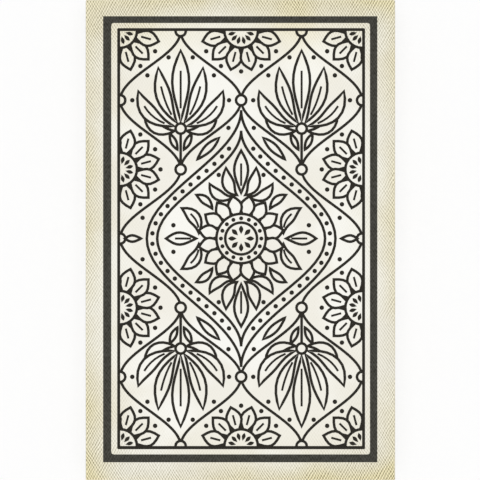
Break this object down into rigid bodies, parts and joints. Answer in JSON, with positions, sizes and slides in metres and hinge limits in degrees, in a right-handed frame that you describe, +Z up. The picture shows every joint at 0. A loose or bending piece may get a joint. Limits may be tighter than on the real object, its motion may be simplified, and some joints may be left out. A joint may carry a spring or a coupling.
{
  "type": "lenormand card deck",
  "caption": "Squared stack of loose pasteboard oracle cards lying backs up; the cards fan out, the deck is cut, a card is drawn from it and the top card turns over.",
  "frame": {"origin": "on the table, under the middle of the stack", "axes": "+X across the cards, +Y along the cards, +Z up through the stack from the faces to the backs"},
  "size_m": [0.0574, 0.0892, 0.0119],
  "materials": {
    "card_stock": "cream pasteboard with a linen-embossed, half-matt coating and a dark printed back"
  },
  "bodies": {
    "card_01_rider": {"card_01_rider": "card_stock"},
    "card_02_clover": {"card_02_clover": "card_stock"},
    "card_03_ship": {"card_03_ship": "card_stock"},
    "card_04_house": {"card_04_house": "card_stock"},
    "card_05_tree": {"card_05_tree": "card_stock"},
    "card_06_clouds": {"card_06_clouds": "card_stock"},
    "card_07_snake": {"card_07_snake": "card_stock"},
    "card_08_coffin": {"card_08_coffin": "card_stock"},
    "card_09_bouquet": {"card_09_bouquet": "card_stock"},
    "card_10_scythe": {"card_10_scythe": "card_stock"},
    "card_11_whip": {"card_11_whip": "card_stock"},
    "card_12_birds": {"card_12_birds": "card_stock"},
    "card_13_child": {"card_13_child": "card_stock"},
    "card_14_fox": {"card_14_fox": "card_stock"},
    "card_15_bear": {"card_15_bear": "card_stock"},
    "card_16_stars": {"card_16_stars": "card_stock"},
    "card_17_stork": {"card_17_stork": "card_stock"},
    "card_18_dog": {"card_18_dog": "card_stock"},
    "card_19_tower": {"card_19_tower": "card_stock"},
    "card_20_garden": {"card_20_garden": "card_stock"},
    "card_21_mountain": {"card_21_mountain": "card_stock"},
    "card_22_crossroads": {"card_22_crossroads": "card_stock"},
    "card_23_mice": {"card_23_mice": "card_stock"},
    "card_24_heart": {"card_24_heart": "card_stock"},
    "card_25_ring": {"card_25_ring": "card_stock"},
    "card_26_book": {"card_26_book": "card_stock"},
    "card_27_letter": {"card_27_letter": "card_stock"},
    "card_28_man": {"card_28_man": "card_stock"},
    "card_29_woman": {"card_29_woman": "card_stock"},
    "card_30_lily": {"card_30_lily": "card_stock"},
    "card_31_sun": {"card_31_sun": "card_stock"},
    "card_32_moon": {"card_32_moon": "card_stock"},
    "card_33_key": {"card_33_key": "card_stock"},
    "card_34_fish": {"card_34_fish": "card_stock"},
    "card_35_anchor": {"card_35_anchor": "card_stock"},
    "card_36_cross": {"card_36_cross": "card_stock"}
  },
  "joints": [
    {"name": "fan", "type": "hinge", "parent": "card_01_rider", "child": "card_02_clover", "pos_m": [-0.01657, -0.03245, 0.00033], "axis": [0, 0, -1], "range_deg": [0, 4]},
    {"name": "fan_03", "type": "hinge", "parent": "card_02_clover", "child": "card_03_ship", "pos_m": [-0.01657, -0.03245, 0.00066], "axis": [0, 0, -1], "range_deg": [0, 4]},
    {"name": "fan_04", "type": "hinge", "parent": "card_03_ship", "child": "card_04_house", "pos_m": [-0.01657, -0.03245, 0.00099], "axis": [0, 0, -1], "range_deg": [0, 4]},
    {"name": "fan_05", "type": "hinge", "parent": "card_04_house", "child": "card_05_tree", "pos_m": [-0.01657, -0.03245, 0.00132], "axis": [0, 0, -1], "range_deg": [0, 4]},
    {"name": "fan_06", "type": "hinge", "parent": "card_05_tree", "child": "card_06_clouds", "pos_m": [-0.01657, -0.03245, 0.00165], "axis": [0, 0, -1], "range_deg": [0, 4]},
    {"name": "fan_07", "type": "hinge", "parent": "card_06_clouds", "child": "card_07_snake", "pos_m": [-0.01657, -0.03245, 0.00198], "axis": [0, 0, -1], "range_deg": [0, 4]},
    {"name": "fan_08", "type": "hinge", "parent": "card_07_snake", "child": "card_08_coffin", "pos_m": [-0.01657, -0.03245, 0.00231], "axis": [0, 0, -1], "range_deg": [0, 4]},
    {"name": "fan_09", "type": "hinge", "parent": "card_08_coffin", "child": "card_09_bouquet", "pos_m": [-0.01657, -0.03245, 0.00264], "axis": [0, 0, -1], "range_deg": [0, 4]},
    {"name": "fan_10", "type": "hinge", "parent": "card_09_bouquet", "child": "card_10_scythe", "pos_m": [-0.01657, -0.03245, 0.00297], "axis": [0, 0, -1], "range_deg": [0, 4]},
    {"name": "fan_11", "type": "hinge", "parent": "card_10_scythe", "child": "card_11_whip", "pos_m": [-0.01657, -0.03245, 0.0033], "axis": [0, 0, -1], "range_deg": [0, 4]},
    {"name": "fan_12", "type": "hinge", "parent": "card_11_whip", "child": "card_12_birds", "pos_m": [-0.01657, -0.03245, 0.00363], "axis": [0, 0, -1], "range_deg": [0, 4]},
    {"name": "fan_13", "type": "hinge", "parent": "card_12_birds", "child": "card_13_child", "pos_m": [-0.01657, -0.03245, 0.00396], "axis": [0, 0, -1], "range_deg": [0, 4]},
    {"name": "fan_14", "type": "hinge", "parent": "card_13_child", "child": "card_14_fox", "pos_m": [-0.01657, -0.03245, 0.00429], "axis": [0, 0, -1], "range_deg": [0, 4]},
    {"name": "fan_15", "type": "hinge", "parent": "card_14_fox", "child": "card_15_bear", "pos_m": [-0.01657, -0.03245, 0.00462], "axis": [0, 0, -1], "range_deg": [0, 4]},
    {"name": "fan_16", "type": "hinge", "parent": "card_15_bear", "child": "card_16_stars", "pos_m": [-0.01657, -0.03245, 0.00495], "axis": [0, 0, -1], "range_deg": [0, 4]},
    {"name": "fan_17", "type": "hinge", "parent": "card_16_stars", "child": "card_17_stork", "pos_m": [-0.01657, -0.03245, 0.00528], "axis": [0, 0, -1], "range_deg": [0, 4]},
    {"name": "fan_18", "type": "hinge", "parent": "card_17_stork", "child": "card_18_dog", "pos_m": [-0.01657, -0.03245, 0.00561], "axis": [0, 0, -1], "range_deg": [0, 4]},
    {"name": "cut", "type": "slide", "parent": "card_18_dog", "child": "card_19_tower", "axis": [1, 0, 0], "range_m": [0, 0.025]},
    {"name": "fan_20", "type": "hinge", "parent": "card_19_tower", "child": "card_20_garden", "pos_m": [-0.01657, -0.03245, 0.00627], "axis": [0, 0, -1], "range_deg": [0, 4]},
    {"name": "fan_21", "type": "hinge", "parent": "card_20_garden", "child": "card_21_mountain", "pos_m": [-0.01657, -0.03245, 0.0066], "axis": [0, 0, -1], "range_deg": [0, 4]},
    {"name": "fan_22", "type": "hinge", "parent": "card_21_mountain", "child": "card_22_crossroads", "pos_m": [-0.01657, -0.03245, 0.00693], "axis": [0, 0, -1], "range_deg": [0, 4]},
    {"name": "fan_23", "type": "hinge", "parent": "card_22_crossroads", "child": "card_23_mice", "pos_m": [-0.01657, -0.03245, 0.00726], "axis": [0, 0, -1], "range_deg": [0, 4]},
    {"name": "draw", "type": "slide", "parent": "card_23_mice", "child": "card_24_heart", "axis": [0, -1, 0], "range_m": [0, 0.075]},
    {"name": "fan_25", "type": "hinge", "parent": "card_23_mice", "child": "card_25_ring", "pos_m": [-0.01657, -0.03245, 0.00792], "axis": [0, 0, -1], "range_deg": [0, 4]},
    {"name": "fan_26", "type": "hinge", "parent": "card_25_ring", "child": "card_26_book", "pos_m": [-0.01657, -0.03245, 0.00825], "axis": [0, 0, -1], "range_deg": [0, 4]},
    {"name": "fan_27", "type": "hinge", "parent": "card_26_book", "child": "card_27_letter", "pos_m": [-0.01657, -0.03245, 0.00858], "axis": [0, 0, -1], "range_deg": [0, 4]},
    {"name": "fan_28", "type": "hinge", "parent": "card_27_letter", "child": "card_28_man", "pos_m": [-0.01657, -0.03245, 0.00891], "axis": [0, 0, -1], "range_deg": [0, 4]},
    {"name": "fan_29", "type": "hinge", "parent": "card_28_man", "child": "card_29_woman", "pos_m": [-0.01657, -0.03245, 0.00924], "axis": [0, 0, -1], "range_deg": [0, 4]},
    {"name": "fan_30", "type": "hinge", "parent": "card_29_woman", "child": "card_30_lily", "pos_m": [-0.01657, -0.03245, 0.00957], "axis": [0, 0, -1], "range_deg": [0, 4]},
    {"name": "fan_31", "type": "hinge", "parent": "card_30_lily", "child": "card_31_sun", "pos_m": [-0.01657, -0.03245, 0.0099], "axis": [0, 0, -1], "range_deg": [0, 4]},
    {"name": "fan_32", "type": "hinge", "parent": "card_31_sun", "child": "card_32_moon", "pos_m": [-0.01657, -0.03245, 0.01023], "axis": [0, 0, -1], "range_deg": [0, 4]},
    {"name": "fan_33", "type": "hinge", "parent": "card_32_moon", "child": "card_33_key", "pos_m": [-0.01657, -0.03245, 0.01056], "axis": [0, 0, -1], "range_deg": [0, 4]},
    {"name": "fan_34", "type": "hinge", "parent": "card_33_key", "child": "card_34_fish", "pos_m": [-0.01657, -0.03245, 0.01089], "axis": [0, 0, -1], "range_deg": [0, 4]},
    {"name": "fan_35", "type": "hinge", "parent": "card_34_fish", "child": "card_35_anchor", "pos_m": [-0.01657, -0.03245, 0.01122], "axis": [0, 0, -1], "range_deg": [0, 4]},
    {"name": "turn", "type": "hinge", "parent": "card_35_anchor", "child": "card_36_cross", "pos_m": [-0.02873, 0, 0.01155], "axis": [0, -1, 0], "range_deg": [0, 180]}
  ],
  "couplings": [
    {"joint": "fan_03", "follows": "fan", "ratio": 1},
    {"joint": "fan_04", "follows": "fan", "ratio": 1},
    {"joint": "fan_05", "follows": "fan", "ratio": 1},
    {"joint": "fan_06", "follows": "fan", "ratio": 1},
    {"joint": "fan_07", "follows": "fan", "ratio": 1},
    {"joint": "fan_08", "follows": "fan", "ratio": 1},
    {"joint": "fan_09", "follows": "fan", "ratio": 1},
    {"joint": "fan_10", "follows": "fan", "ratio": 1},
    {"joint": "fan_11", "follows": "fan", "ratio": 1},
    {"joint": "fan_12", "follows": "fan", "ratio": 1},
    {"joint": "fan_13", "follows": "fan", "ratio": 1},
    {"joint": "fan_14", "follows": "fan", "ratio": 1},
    {"joint": "fan_15", "follows": "fan", "ratio": 1},
    {"joint": "fan_16", "follows": "fan", "ratio": 1},
    {"joint": "fan_17", "follows": "fan", "ratio": 1},
    {"joint": "fan_18", "follows": "fan", "ratio": 1},
    {"joint": "fan_20", "follows": "fan", "ratio": 1},
    {"joint": "fan_21", "follows": "fan", "ratio": 1},
    {"joint": "fan_22", "follows": "fan", "ratio": 1},
    {"joint": "fan_23", "follows": "fan", "ratio": 1},
    {"joint": "fan_25", "follows": "fan", "ratio": 1},
    {"joint": "fan_26", "follows": "fan", "ratio": 1},
    {"joint": "fan_27", "follows": "fan", "ratio": 1},
    {"joint": "fan_28", "follows": "fan", "ratio": 1},
    {"joint": "fan_29", "follows": "fan", "ratio": 1},
    {"joint": "fan_30", "follows": "fan", "ratio": 1},
    {"joint": "fan_31", "follows": "fan", "ratio": 1},
    {"joint": "fan_32", "follows": "fan", "ratio": 1},
    {"joint": "fan_33", "follows": "fan", "ratio": 1},
    {"joint": "fan_34", "follows": "fan", "ratio": 1},
    {"joint": "fan_35", "follows": "fan", "ratio": 1}
  ]
}
